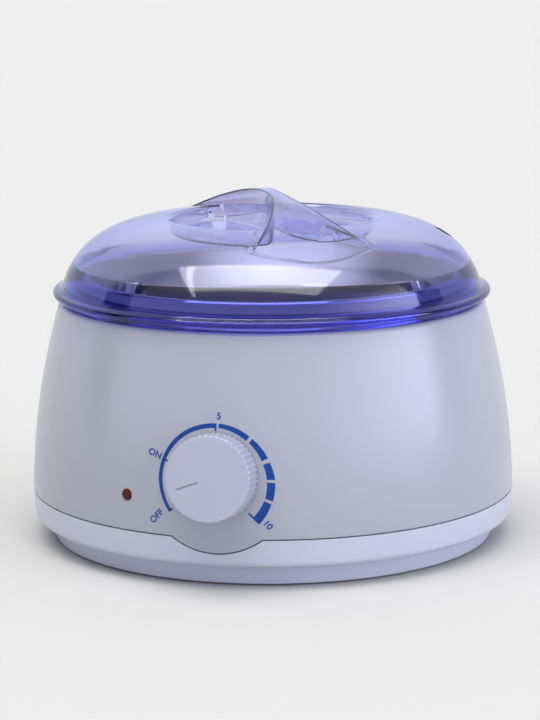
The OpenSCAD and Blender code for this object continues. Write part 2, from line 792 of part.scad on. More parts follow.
module lead(path, radius) {
    n = len(path);
    polyhedron(
        points = [for (i = [0:n - 1]) each lead_ring(path, i, radius)],
        faces = concat(
            [[for (k = [0:lead_sides - 1]) k]],
            [for (i = [0:n - 2], k = [0:lead_sides - 1])
                [i * lead_sides + k, (i + 1) * lead_sides + k,
                 (i + 1) * lead_sides + (k + 1) % lead_sides,
                 i * lead_sides + (k + 1) % lead_sides]],
            [[for (k = [lead_sides - 1:-1:0]) (n - 1) * lead_sides + k]]
        )
    );
}

// The leads' lanes run round the floor, inside the screw posts, and stacked a lead gap apart
lead_gap = 2.2;
lane_steps = 9;
lane_z = floor_top + shield_gap + shield_t + lead_gap - bite / 2;
lamp_lane_r = post_r - post_outer - 1.7 * lead_gap;
dial_lane_r = lamp_lane_r - 1.8 * lead_gap;
heater_lane_r = heater_out_r + 6.2 * lead_gap;
heater_lane_z = well_under_z - 1.3 * lead_gap;
block_y = block_ring_r - block_d / 2 - touch;
block_low_z = floor_top + block_lift + block_h / 2;
block_high_z = block_low_z + 0.9 * lead_gap;

function polar(r, a, z) = [r * cos(a), r * sin(a), z];
function mix(p, q, t) = p * (1 - t) + q * t;
function arc(r, a, b, z, n = lane_steps) = [for (i = [0:n]) polar(r, a + (b - a) * i / n, z)];

// Where the leads meet the thermostat's blades, the lamp, the heater's blades, the fuse and the block.
// past is the distance straight out from the end face.
function dial_point(side, past) =
    let (v = -body_h / 2 - blade_l - touch - past, w = blade_back + blade_t / 2) [
    side * blade_u,
    dial_y + v * sin(dial_tilt) - w * cos(dial_tilt),
    dial_z + v * cos(dial_tilt) + w * sin(dial_tilt)];
function lamp_point(side, past) =
    let (r = skin_r(lamp_z) - lens_depth - neon_l - touch - past, u = side * 1.7 * thin_lead_r) [
    u * cos(lamp_angle) - r * sin(lamp_angle),
    -u * sin(lamp_angle) - r * cos(lamp_angle),
    lamp_z];
function blade_point(angle, past) =
    polar(heater_out_r + heater_blade_l + touch + past, angle, strap_top_z + heater_h / 2);
function fuse_point(side, past) =
    let (s = side * (fuse_l / 2 + fuse_wire_l + touch + past)) [
    fuse_ring_r * cos(fuse_angle) + s * sin(fuse_angle),
    fuse_ring_r * sin(fuse_angle) - s * cos(fuse_angle),
    fuse_z];
function block_point(u, z, past) = [u, block_y - past, z];

module leads_to_heater() color([0.80, 0.22, 0.18]) {
    blade = dial_point(1, 2 * lead_gap);
    tab = blade_point(heater_blade_angles[1], lead_gap);
    dip = [0, 0, -lead_gap / 2];
    lead([
        dial_point(1, 0), blade, mix(blade, tab, 0.3) + dip, mix(blade, tab, 0.7) + dip,
        tab, blade_point(heater_blade_angles[1], 0)
    ], lead_r);
    lead(concat(
        [blade_point(heater_blade_angles[0], 0), blade_point(heater_blade_angles[0], lead_gap)],
        arc(heater_lane_r, 240, 160, heater_lane_z),
        [fuse_point(-1, 2 * lead_gap), fuse_point(-1, lead_gap), fuse_point(-1, 0)]
    ), lead_r);
    lead([
        fuse_point(1, 0), fuse_point(1, lead_gap),
        block_point(-block_far_u, heater_lane_z, 2.3 * lead_gap),
        block_point(block_near_u, heater_lane_z, 2.3 * lead_gap),
        block_point(block_far_u, heater_lane_z - 0.5 * lead_gap, 2 * lead_gap),
        block_point(block_far_u, block_low_z + lead_gap, 1.4 * lead_gap),
        block_point(block_far_u, block_low_z, lead_gap),
        block_point(block_far_u, block_low_z, 0)
    ], lead_r);
}

module leads_to_thermostat() color([0.18, 0.18, 0.20]) {
    lane_end = polar(dial_lane_r, 228, lane_z);
    blade = dial_point(-1, lead_gap);
    lead(concat(
        [block_point(-block_near_u, block_low_z, 0), block_point(-block_near_u, block_low_z, lead_gap),
         block_point(-block_near_u - lead_gap, block_low_z, 2 * lead_gap)],
        [block_point(-block_far_u - 3 * lead_gap, (block_low_z + lane_z) / 2, 3 * lead_gap)],
        arc(dial_lane_r, 130, 220, lane_z),
        [lane_end, mix(lane_end, blade, 0.5), mix(lane_end, blade, 0.85), blade, dial_point(-1, 0)]
    ), lead_r);
}

module lamp_lead(side, high) {
    start = lamp_point(side, lead_gap);
    down_r = norm([start[0], start[1]]) - lead_gap;
    down_a = 246 + 2.5 * side;
    z = lane_z + high;
    u = side < 0 ? -block_far_u : block_near_u;
    end_z = side < 0 ? block_low_z : block_high_z;
    lead(concat(
        [lamp_point(side, 0), start,
         polar(down_r, down_a, lamp_z - lead_gap), polar(down_r, down_a, (lamp_z + z) / 2),
         polar((down_r + lamp_lane_r) / 2, down_a - 3, z + 1.5 * lead_gap)],
        arc(lamp_lane_r, 237, 127, z),
        [block_point(-block_l / 2 - 4 * lead_gap, (z + end_z) / 2, -lead_gap / 2),
         block_point(-block_l / 2 - lead_gap, end_z, side < 0 ? 0.8 * lead_gap : lead_gap)],
        side < 0
            ? []
            : [block_point(-block_far_u, end_z + 0.5 * lead_gap, 1.6 * lead_gap),
               block_point(-block_near_u, end_z + 0.5 * lead_gap, 1.6 * lead_gap),
               block_point(0, end_z + 0.4 * lead_gap, 1.6 * lead_gap)],
        [block_point(u, end_z, 0.8 * lead_gap), block_point(u, end_z, 0)]
    ), thin_lead_r);
}

module leads_to_lamp() color([0.93, 0.93, 0.90]) {
    lamp_lead(-1, 0);
    lamp_lead(1, lead_gap);
}

module wax_pot() color([0.80, 0.81, 0.83]) {
    under_z = well_floor_z;
    lip_low_z = pot_rim_z - pot_wall;
    difference() {
        rotate_extrude() {
            polygon([
                [0, under_z], [pot_r - 0.8 * pot_corner, under_z],
                [pot_r - 0.1 * pot_corner, under_z + 0.27 * pot_corner],
                [pot_r + pot_wall, under_z + 1.1 * pot_corner], [pot_r + pot_wall, lip_low_z],
                [bead_ring_r, lip_low_z], [bead_ring_r, pot_rim_z], [pot_r, pot_rim_z],
                [pot_r, under_z + 1.3 * pot_corner],
                [pot_r - 0.3 * pot_corner, under_z + 0.63 * pot_corner],
                [pot_r - pot_corner, under_z + pot_wall], [0, under_z + pot_wall]
            ]);
            translate([bead_ring_r, pot_rim_z - bead_drop]) circle(r = bead_r, $fn = 32);
        }
        rivet_places() cylinder(r = rivet_r + fit, h = 4 * ear_room, center = true);
    }
}

module rivet_places() {
    for (side = [0, 180], drop = [rivet_low, rivet_high])
        rotate(side) translate([pot_r, 0, pot_rim_z - drop]) rotate([0, 90, 0]) children();
}

module pot_ears() color([0.72, 0.73, 0.75])
    for (side = [0, 180]) rotate(side) difference() {
        union() {
            translate([ear_x, 0, bail_z]) rotate([0, 90, 0]) cylinder(r = ear_eye_r, h = ear_t);
            translate([ear_x, -ear_eye_r, pot_rim_z - ear_h])
                cube([ear_t, 2 * ear_eye_r, bail_z - pot_rim_z + ear_h]);
        }
        translate([ear_x - over, 0, bail_z]) rotate([0, 90, 0])
            cylinder(r = bail_wire_r + bail_bore, h = ear_t + 2 * over);
        for (drop = [rivet_low, rivet_high])
            translate([ear_x - over, 0, pot_rim_z - drop]) rotate([0, 90, 0])
                cylinder(r = rivet_r + fit, h = ear_t + 2 * over);
    }

module ear_rivets() color([0.82, 0.82, 0.84])
    rivet_places() {
        inner = ear_x - pot_r;
        translate([0, 0, inner - rivet_head_t]) cylinder(r = rivet_head_r, h = rivet_head_t);
        translate([0, 0, inner - rivet_head_t / 2])
            cylinder(r = rivet_r, h = pot_wall - inner + rivet_head_t);
        translate([0, 0, pot_wall]) cylinder(r = rivet_head_r, h = rivet_head_t);
    }

module bail_handle() color([0.74, 0.75, 0.77])
    translate([0, 0, bail_z]) {
        rotate(180) rotate_extrude(angle = 180)
            translate([bail_r, 0]) circle(r = bail_wire_r - bail_thin, $fn = 24);
        for (side = [0, 180]) rotate(side)
            translate([ear_x - bail_pin_in, 0, 0]) rotate([0, 90, 0])
                cylinder(r = bail_wire_r, h = bail_r - ear_x + 2 * bail_pin_in);
    }

// Outline of the dome from the crease to the axis, for the outer or the inner face
function dome_line(start_z, wall) =
    let (start_r = dome_side(start_z, wall))
    [for (i = [0:dome_steps])
        let (r = start_r * cos(90 * i / dome_steps))
        [r, dome_top(r, wall)]];

module lid_outer() {
    lip = flange_h / 2;
    rotate_extrude() polygon(concat(
        [[0, deck_z]],
        [for (a = [-90:22.5:90])
            [flange_r - lip + lip * cos(a), deck_z + lip + lip * sin(a)]],
        [[skirt_r + crease_fillet, deck_z + flange_h], [skirt_r, deck_z + flange_h + crease_fillet]],
        dome_line(crease_z, 0)
    ));
}

module lid_inner() {
    rotate_extrude() polygon(concat(
        [[0, deck_z - over], [skirt_r - lid_wall, deck_z - over], [skirt_r - lid_wall, deck_z]],
        dome_line(crease_z, lid_wall)
    ));
}

// Plan of the grip, along the X axis: waisted between two hollowed sides
module grip_plan(wall, start) {
    difference() {
        translate([start, -pit_r]) square([2 * crown_end_r - start, 2 * pit_r]);
        for (side = [-1, 1])
            translate([0, side * (scoop_r + waist)]) circle(r = scoop_r + wall);
    }
}

module grip() {
    intersection() {
        translate([0, 0, pit_z - lid_wall - grip_root]) linear_extrude(height = dome_h)
            grip_plan(0, -2 * crown_end_r);
        translate([0, 0, crown_z]) sphere(r = crown_r);
        cylinder(r = crown_end_r, h = cut_r);
    }
}

// Hollow under each end of the grip
module grip_hollows() {
    for (side = [0, 180]) rotate(side) intersection() {
        translate([0, 0, pit_z - lid_wall - 2 * grip_root]) linear_extrude(height = dome_h)
            grip_plan(lid_wall * 1.4, hollow_start);
        translate([0, 0, crown_z]) sphere(r = crown_r - lid_wall);
        cylinder(r = crown_end_r - lid_wall, h = cut_r);
    }
}

// Finger pits on both sides of the grip
module pits(wall) {
    for (side = [-1, 1]) translate([0, 0, pit_z - wall]) linear_extrude(height = dome_h)
        intersection() {
            circle(r = pit_r + wall);
            translate([0, side * (scoop_r + waist)]) circle(r = scoop_r + wall * 1.2);
        }
}

module lid() color([0.36, 0.34, 0.86, 0.6])
    rotate(grip_angle - 90) difference() {
        union() {
            lid_outer();
            grip();
        }
        pits(0);
        difference() {
            lid_inner();
            pits(lid_wall);
        }
        grip_hollows();
        // Steam vent, square to the dome's face
        rotate(vent_angle - grip_angle) translate([vent_ring_r, 0, dome_top(vent_ring_r, 0)])
            rotate([0, vent_tilt, 0]) cylinder(r = vent_r, h = vent_cut, center = true);
    }

upper_casing();
base();
foot_ring();
base_screws();
heating_well();
well_insulation();
heater_ring();
well_strap();
strap_nut();
strap_screws();
heat_shield();
thermal_fuse();
fuse_clip();
thermostat_body();
thermostat_bracket();
bracket_screws();
thermostat_shaft();
control_knob();
lamp_lens();
neon_lamp();
terminal_block();
terminal_screw();
cord_gland();
cord_clamp();
clamp_screws();
leads_to_heater();
leads_to_thermostat();
leads_to_lamp();
wax_pot();
pot_ears();
ear_rivets();
bail_handle();
lid();
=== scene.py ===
"""Looks of the wax warmer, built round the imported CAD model, in metres."""
import math

import bmesh
import bpy
from mathutils import Matrix, Vector
from mathutils.bvhtree import BVHTree


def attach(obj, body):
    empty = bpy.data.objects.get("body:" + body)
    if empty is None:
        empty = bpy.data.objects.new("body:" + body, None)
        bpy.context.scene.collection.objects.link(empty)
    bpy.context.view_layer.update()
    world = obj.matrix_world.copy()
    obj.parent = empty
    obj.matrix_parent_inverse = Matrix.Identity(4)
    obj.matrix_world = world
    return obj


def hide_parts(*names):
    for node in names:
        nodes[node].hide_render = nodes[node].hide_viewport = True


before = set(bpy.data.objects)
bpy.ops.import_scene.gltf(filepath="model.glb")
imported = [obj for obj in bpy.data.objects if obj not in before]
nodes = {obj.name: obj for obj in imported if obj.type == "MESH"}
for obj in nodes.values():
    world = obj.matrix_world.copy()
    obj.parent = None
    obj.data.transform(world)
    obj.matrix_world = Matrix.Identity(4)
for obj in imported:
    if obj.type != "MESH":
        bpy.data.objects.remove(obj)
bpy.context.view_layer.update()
MM = 0.001


# Camera: the photograph's viewpoint, fitted to the rims and the outline

IMAGE_HEIGHT = 720
FOCAL_PIXELS = 2642.5
SENSOR_MM = 36.0
CLIP_START, CLIP_END = 0.05, 20
CAMERA_AZIMUTH = math.radians(12.9)
CAMERA_PITCH = math.radians(10.79)
CAMERA_ROLL = math.radians(-0.44)
CAMERA_DISTANCE = 1.0
CAMERA_SIDE = -0.00086
CAMERA_HEIGHT = 0.25699


def add_camera():
    data = bpy.data.cameras.new("camera")
    data.sensor_width = SENSOR_MM
    data.lens = FOCAL_PIXELS * SENSOR_MM / IMAGE_HEIGHT
    data.clip_start = CLIP_START
    data.clip_end = CLIP_END
    camera = bpy.data.objects.new("camera", data)
    bpy.context.scene.collection.objects.link(camera)
    forward = Vector((0, math.cos(CAMERA_PITCH), -math.sin(CAMERA_PITCH)))
    level_up = Vector((0, math.sin(CAMERA_PITCH), math.cos(CAMERA_PITCH)))
    level_right = Vector((1, 0, 0))
    right = math.cos(CAMERA_ROLL) * level_right + math.sin(CAMERA_ROLL) * level_up
    up = math.cos(CAMERA_ROLL) * level_up - math.sin(CAMERA_ROLL) * level_right
    turn = Matrix.Rotation(CAMERA_AZIMUTH, 4, "Z")
    place = Matrix.Translation((CAMERA_SIDE, -CAMERA_DISTANCE, CAMERA_HEIGHT))
    axes = Matrix((right, up, -forward)).transposed().to_4x4()
    camera.matrix_world = turn @ place @ axes
    bpy.context.scene.camera = camera
    bpy.context.scene.view_settings.view_transform = "Standard"


# Pieces


def as_object(name, form):
    mesh = bpy.data.meshes.new(name)
    form.to_mesh(mesh)
    form.free()
    piece = bpy.data.objects.new(name, mesh)
    bpy.context.scene.collection.objects.link(piece)
    return piece


def baked(piece):
    """Turns a piece's modifiers into its mesh."""
    graph = bpy.context.evaluated_depsgraph_get()
    mesh = bpy.data.meshes.new_from_object(piece.evaluated_get(graph))
    piece.modifiers.clear()
    piece.data = mesh


def wear(piece, material):
    piece.data.materials.clear()
    piece.data.materials.append(material)


# Materials

# Range that most values of a noise lie in
NOISE_LOW, NOISE_HIGH = 0.3, 0.7


def socket(node, name, value):
    node.inputs[name].default_value = value


def principled(name, colour, roughness, metallic=0.0):
    material = bpy.data.materials.new(name)
    material.use_nodes = True
    shader = material.node_tree.nodes["Principled BSDF"]
    socket(shader, "Base Color", (*colour, 1))
    socket(shader, "Roughness", roughness)
    socket(shader, "Metallic", metallic)
    return material, shader


class Numbers:
    """Adds arithmetic nodes to a tree, so that a formula reads as one."""

    def __init__(self, tree):
        self.tree = tree

    def run(self, operation, *values):
        node = self.tree.nodes.new("ShaderNodeMath")
        node.operation = operation
        for slot, value in zip(node.inputs, values):
            if isinstance(value, (int, float)):
                slot.default_value = value
            else:
                self.tree.links.new(value, slot)
        return node.outputs["Value"]

    def plus(self, a, b):
        return self.run("ADD", a, b)

    def minus(self, a, b):
        return self.run("SUBTRACT", a, b)

    def times(self, a, b):
        return self.run("MULTIPLY", a, b)

    def rise(self, value, start, end):
        """0 up to start and 1 past end, smooth between. It falls where end is below start."""
        node = self.tree.nodes.new("ShaderNodeMapRange")
        node.interpolation_type = "SMOOTHSTEP"
        socket(node, "From Min", start)
        socket(node, "From Max", end)
        self.tree.links.new(value, node.inputs["Value"])
        return node.outputs["Result"]

    def between(self, value, low, high, soft):
        """1 between low and high, 0 outside, with soft edges."""
        up = self.rise(value, low - soft, low + soft)
        down = self.rise(value, high + soft, high - soft)
        return self.times(up, down)


def object_coordinates(tree):
    return tree.nodes.new("ShaderNodeTexCoord").outputs["Object"]


def noise(tree, coordinates, scale, detail):
    node = tree.nodes.new("ShaderNodeTexNoise")
    socket(node, "Scale", scale)
    socket(node, "Detail", detail)
    tree.links.new(coordinates, node.inputs["Vector"])
    return node.outputs["Fac"]


def map_range(tree, value, low, high, from_low=NOISE_LOW, from_high=NOISE_HIGH):
    node = tree.nodes.new("ShaderNodeMapRange")
    socket(node, "From Min", from_low)
    socket(node, "From Max", from_high)
    socket(node, "To Min", low)
    socket(node, "To Max", high)
    tree.links.new(value, node.inputs["Value"])
    return node.outputs["Result"]


def mix_colours(tree, factor, dark, light):
    node = tree.nodes.new("ShaderNodeMix")
    node.data_type = "RGBA"
    socket(node, "A", (*dark, 1))
    socket(node, "B", (*light, 1))
    tree.links.new(factor, node.inputs["Factor"])
    return node.outputs["Result"]


def bump(tree, shader, height, distance, strength=1.0):
    node = tree.nodes.new("ShaderNodeBump")
    socket(node, "Distance", distance)
    socket(node, "Strength", strength)
    tree.links.new(height, node.inputs["Height"])
    tree.links.new(node.outputs["Normal"], shader.inputs["Normal"])


MOTTLE_SCALE, MOTTLE_DETAIL = 14, 2
WEAR_SCALE, WEAR_DETAIL = 11, 0
WEAR = 0.02
GRAIN_DETAIL = 2


def moulded_plastic(name, colour, roughness, grain=900.0, depth=0.00002, spread=0.02):
    """Moulded plastic: faint mottling, an uneven polish and a fine grain."""
    material, shader = principled(name, colour, roughness)
    tree = material.node_tree
    where = object_coordinates(tree)
    dark = tuple(c * (1 - spread) for c in colour)
    light = tuple(min(1, c * (1 + spread)) for c in colour)
    mottle = noise(tree, where, MOTTLE_SCALE, MOTTLE_DETAIL)
    tree.links.new(mix_colours(tree, mottle, dark, light), shader.inputs["Base Color"])
    worn = noise(tree, where, WEAR_SCALE, WEAR_DETAIL)
    polish = map_range(tree, worn, roughness - WEAR, roughness + WEAR, 0.0, 1.0)
    tree.links.new(polish, shader.inputs["Roughness"])
    bump(tree, shader, noise(tree, where, grain, GRAIN_DETAIL), depth)
    return material


PATCH_SCALE, PATCH_DETAIL = 45, 4
PATCH_SHINIER, PATCH_DULLER = 0.04, 0.06
RING_SCALE, RING_DETAIL = 130, 2
RING_DISTORTION = 1.5
RING_DEPTH = 0.00001
RING_STRENGTH = 0.4


def turned_metal(name, colour, roughness):
    """Turned metal: fine rings about the vertical axis and a patchy polish."""
    material, shader = principled(name, colour, roughness, 1.0)
    tree = material.node_tree
    where = object_coordinates(tree)
    wave = tree.nodes.new("ShaderNodeTexWave")
    wave.wave_type = "RINGS"
    wave.rings_direction = "Z"
    socket(wave, "Scale", RING_SCALE)
    socket(wave, "Distortion", RING_DISTORTION)
    socket(wave, "Detail", RING_DETAIL)
    tree.links.new(where, wave.inputs["Vector"])
    patches = noise(tree, where, PATCH_SCALE, PATCH_DETAIL)
    polish = map_range(tree, patches, roughness - PATCH_SHINIER, roughness + PATCH_DULLER)
    tree.links.new(polish, shader.inputs["Roughness"])
    bump(tree, shader, wave.outputs["Fac"], RING_DEPTH, RING_STRENGTH)
    return material


# The neck turns from its satin inside to its polished outside between these radii, in metres
SATIN_R, POLISHED_R = 0.0735, 0.0745
POLISHED = 0.1
SATIN_MORE = 0.35
WELL_ROUGHNESS = 0.3
DENT_SCALE, DENT_DETAIL = 30, 2
DENT_DEPTH = 0.0004
DENT_STRENGTH = 0.5


def spun_well(name, colour):
    """Spun aluminium, polished on the outside of the neck and satin inside the funnel."""
    material, shader = principled(name, colour, WELL_ROUGHNESS, 1.0)
    tree = material.node_tree
    where = object_coordinates(tree)
    n = Numbers(tree)
    flat = tree.nodes.new("ShaderNodeVectorMath")
    flat.operation = "MULTIPLY"
    flat.inputs[1].default_value = (1, 1, 0)
    tree.links.new(where, flat.inputs[0])
    length = tree.nodes.new("ShaderNodeVectorMath")
    length.operation = "LENGTH"
    tree.links.new(flat.outputs["Vector"], length.inputs[0])
    inside = n.rise(length.outputs["Value"], POLISHED_R, SATIN_R)
    patches = noise(tree, where, PATCH_SCALE, PATCH_DETAIL)
    patchy = map_range(tree, patches, -PATCH_SHINIER, PATCH_DULLER)
    rough = n.plus(n.times(inside, SATIN_MORE), POLISHED)
    tree.links.new(n.plus(rough, patchy), shader.inputs["Roughness"])
    bump(tree, shader, noise(tree, where, DENT_SCALE, DENT_DETAIL), DENT_DEPTH, DENT_STRENGTH)
    return material


DULL_PATCH = 0.86
DULL_DETAIL = 4
SCUFF_SHINIER, SCUFF_DULLER = 0.08, 0.1
SCUFF_FINER, SCUFF_DETAIL = 2, 5
SCRATCH_FINER, SCRATCH_DETAIL = 9, 3
SCRATCH_DEPTH = 0.00001


def plain_metal(name, colour, roughness, scale=140.0):
    """Pressed or plated metal: small dull and bright patches and light scratches."""
    material, shader = principled(name, colour, roughness, 1.0)
    tree = material.node_tree
    where = object_coordinates(tree)
    dark = tuple(c * DULL_PATCH for c in colour)
    dulled = noise(tree, where, scale, DULL_DETAIL)
    tree.links.new(mix_colours(tree, dulled, dark, colour), shader.inputs["Base Color"])
    scuffed = noise(tree, where, scale * SCUFF_FINER, SCUFF_DETAIL)
    polish = map_range(tree, scuffed, roughness - SCUFF_SHINIER, roughness + SCUFF_DULLER)
    tree.links.new(polish, shader.inputs["Roughness"])
    scratches = noise(tree, where, scale * SCRATCH_FINER, SCRATCH_DETAIL)
    bump(tree, shader, scratches, SCRATCH_DEPTH)
    return material


LID_TINT = (0.08, 0.10, 0.85)
LID_DENSITY = 400.0
LID_ROUGHNESS = 0.03
LID_IOR = 1.49
RIPPLE_SCALE, RIPPLE_DETAIL = 22, 2
RIPPLE_DEPTH = 0.00012


def lid_plastic():
    """Clear violet-blue plastic: the tint comes from its thickness."""
    material, shader = principled("lid_clear_plastic", (1, 1, 1), LID_ROUGHNESS)
    socket(shader, "Transmission Weight", 1.0)
    socket(shader, "IOR", LID_IOR)
    tree = material.node_tree
    where = object_coordinates(tree)
    bump(tree, shader, noise(tree, where, RIPPLE_SCALE, RIPPLE_DETAIL), RIPPLE_DEPTH)
    volume = tree.nodes.new("ShaderNodeVolumeAbsorption")
    socket(volume, "Color", (*LID_TINT, 1))
    socket(volume, "Density", LID_DENSITY)
    output = tree.nodes["Material Output"]
    tree.links.new(volume.outputs["Volume"], output.inputs["Volume"])
    return material


LENS_RED = (0.07, 0.003, 0.004)
LENS_ROUGHNESS = 0.12
LENS_SHINIEST, LENS_DULLEST = 0.08, 0.16
LENS_SPECULAR = 0.25
LENS_SCALE, LENS_DETAIL = 300, 3


def red_lens():
    material, shader = principled("lens_red_plastic", LENS_RED, LENS_ROUGHNESS)
    socket(shader, "Specular IOR Level", LENS_SPECULAR)
    tree = material.node_tree
    where = object_coordinates(tree)
    uneven = noise(tree, where, LENS_SCALE, LENS_DETAIL)
    polish = map_range(tree, uneven, LENS_SHINIEST, LENS_DULLEST)
    tree.links.new(polish, shader.inputs["Roughness"])
    return material


# The casing and the base are the same plastic. The base's colour is a lighter copy of it:
# painted light, standing in for the light that the floor throws up on the base.
CASING = (0.328, 0.338, 0.385)
BASE_PAINTED_LIGHTER = (0.455, 0.47, 0.55)
KNOB = (0.35, 0.365, 0.445)


def dress_nodes():
    casing = moulded_plastic("casing_plastic", CASING, 0.24)
    # Lighter copy of the casing's plastic on the base: painted light from the floor below
    base = moulded_plastic("base_plastic", BASE_PAINTED_LIGHTER, 0.31)
    knob = moulded_plastic("knob_plastic", KNOB, 0.36)
    rubber = moulded_plastic("foot_rubber", (0.03, 0.03, 0.033), 0.8, grain=500, depth=0.00004)
    bush = moulded_plastic("gland_rubber", (0.5, 0.52, 0.57), 0.7, grain=500, depth=0.00003)
    pale = moulded_plastic("terminal_plastic", (0.66, 0.65, 0.58), 0.5)
    black = moulded_plastic("thermostat_plastic", (0.03, 0.03, 0.035), 0.45)
    screw = plain_metal("screw_zinc", (0.58, 0.59, 0.62), 0.3)
    sheet = plain_metal("sheet_zinc", (0.50, 0.51, 0.53), 0.35, scale=60)
    dull = plain_metal("heater_steel", (0.30, 0.29, 0.29), 0.5, scale=40)
    brass = plain_metal("brass", (0.62, 0.49, 0.25), 0.3)
    well = spun_well("well_aluminium", (0.42, 0.43, 0.46))
    pot = turned_metal("pot_aluminium", (0.45, 0.45, 0.47), 0.36)
    felt = moulded_plastic(
        "sleeve_felt", (0.62, 0.60, 0.54), 0.95, grain=260, depth=0.0004, spread=0.08
    )
    red = moulded_plastic("lead_red", (0.45, 0.03, 0.025), 0.45)
    dark = moulded_plastic("lead_black", (0.02, 0.02, 0.022), 0.45)
    white = moulded_plastic("lead_white", (0.7, 0.7, 0.66), 0.45)
    glass = moulded_plastic("neon_glass", (0.75, 0.45, 0.25), 0.2)
    looks = {
        casing: ["upper_casing"],
        base: ["base"],
        knob: ["control_knob"],
        rubber: ["foot_ring"],
        bush: ["cord_gland"],
        pale: ["terminal_block", "cord_clamp", "thermal_fuse"],
        black: ["thermostat_body"],
        screw: [
            "base_screws", "strap_screws", "bracket_screws", "terminal_screw", "clamp_screws"
        ],
        sheet: ["well_strap", "thermostat_bracket", "fuse_clip", "heat_shield", "pot_ears"],
        dull: ["heater_ring"],
        brass: ["strap_nut", "thermostat_shaft"],
        well: ["heating_well"],
        pot: ["wax_pot", "ear_rivets", "bail_handle"],
        felt: ["well_insulation"],
        red: ["leads_to_heater"],
        dark: ["leads_to_thermostat"],
        white: ["leads_to_lamp"],
        red_lens(): ["lamp_lens"],
        glass: ["neon_lamp"],
    }
    for material, names in looks.items():
        for name in names:
            wear(nodes[name], material)


SMOOTH_ANGLE = math.radians(28)
WELD_DISTANCE = 0.00001


def smooth_nodes():
    """Rounds the shading of the curved faces and keeps the real edges sharp."""
    for node in nodes.values():
        node.data.shade_smooth()
        weld = node.modifiers.new("weld", "WELD")
        weld.merge_threshold = WELD_DISTANCE
        split = node.modifiers.new("edges", "EDGE_SPLIT")
        split.split_angle = SMOOTH_ANGLE
        even = node.modifiers.new("normals", "WEIGHTED_NORMAL")
        even.mode = "FACE_AREA"
        even.keep_sharp = True


# Lid: one thin wall of clear plastic, in millimetres about its own axis. Its grip lies along
# X until the whole is turned. Outside the grid, which holds the grip and the finger pits, it
# is round.

LID_WALL = 0.62
LID_SWELL = 1.7
SWELL_FROM_R = 75.0
SWELL_TO_R = 79.0
FLANGE_R = 83.6
FLANGE_LOW = 93.1
FLANGE_TOP = 95.9
FOOT_Z = 91.0
FOOT_OUT_R = 79.8
FOOT_ROUND = 0.2
SKIRT_R = 80.5
CREASE_Z = 102.0
CREASE_ROUND = 0.35
CREASE_PAST, INNER_CREASE_PAST = 0.12, 0.1
DOME_R = 82.3
DOME_H = 39.6
SPRING_Z = 83.3
DOME_POWER = 5
CROWN_R = 139.0
CROWN_Z = -6.8
CROWN_BLEND = 0.5
WAIST = 2.6
SCOOP_R = 93.0
PIT_R = 38.0
PIT_Z = 116.3
PIT_SINK = 8
GRID_R = 68.0
GRIP_TURN = math.radians(-62.5)
EDGE_ROUND, INNER_EDGE_ROUND = 0.45, 0.15
PIT_FILLET = 1.8
RIM_ROUND, INNER_RIM_ROUND = 2.6, 0.3
VENT_R = 3.7
VENT_RING_R = 66.0
VENT_AZIMUTH = math.radians(14)
VENT_DRILL = 10
VENT_SIDES = 48
LID_SHARP_ANGLE = math.radians(50)

# Where the skirt eases into the flange and the dome: sideways and up from the flange's top
EASE_IN, EASE_UP = 0.35, 1.6
NECK_OUT, NECK_UP = 0.5, 0.5
# Where the flange's underside eases into the foot: sideways and down
UNDER_OUT, UNDER_DOWN = 0.4, 0.3

# Limits that keep a section whole where the grip and the pits run out: shares of the reach
# for the grip's side and the pit's rim, and of the room in height and width for a rounding
SIDE_SHARE = 0.6
RIM_LEAST, RIM_MOST = 0.12, 0.9
HEIGHT_SHARE = 0.45
WIDTH_SHARE = 0.3
LEAST_WIDTH = 0.04
STEEPEST_WALL = 2.0
LEAST_RING = 1.0

# Steps along each part of a section
COLUMNS = 120
DOME_STEPS = 14
FLANGE_STEPS = 12
CROWN_STEPS = 6
EDGE_STEPS = 4
FILLET_STEPS = 5
FLOOR_STEPS = 10
RIM_STEPS = 12


def smooth_step(low, high, value):
    t = min(1.0, max(0.0, (value - low) / (high - low)))
    return t * t * (3 - 2 * t)


def smooth_max(a, b, reach):
    share = min(1.0, max(0.0, 0.5 + 0.5 * (a - b) / reach))
    return b + (a - b) * share + reach * share * (1 - share)


def inner_inset(r):
    """Wall of the dome at a radius: it thickens towards the crease."""
    return LID_WALL + LID_SWELL * smooth_step(SWELL_FROM_R, SWELL_TO_R, r)


def dome_z(r, inset):
    share = 1 - (r / (DOME_R - inset)) ** DOME_POWER
    return SPRING_Z + (DOME_H - inset) * math.sqrt(max(0.0, share))


def dome_side(z, inset):
    share = 1 - ((z - SPRING_Z) / (DOME_H - inset)) ** 2
    return (DOME_R - inset) * share ** (1 / DOME_POWER)


def roof_z(r, inset):
    crown = CROWN_Z + math.sqrt((CROWN_R - inset) ** 2 - r * r)
    return smooth_max(crown, dome_z(r, inset), CROWN_BLEND)


def arc(points, centre, width, height, start, end, steps):
    """Adds part of an ellipse, from just past its first angle to its last, in degrees."""
    for k in range(1, steps + 1):
        a = math.radians(start + (end - start) * k / steps)
        points.append((centre[0] + width * math.cos(a), centre[1] + height * math.sin(a)))


def line(points, start, end, steps, height_at):
    for k in range(1, steps + 1):
        y = start + (end - start) * k / steps
        points.append((y, height_at(y)))


def rounding(size, drop, width_room, height_room=math.inf):
    """Height and width of a rounding, limited by the drop that it eases and by its room."""
    height = min(size, HEIGHT_SHARE * drop, height_room)
    return height, min(max(height, LEAST_WIDTH), width_room)


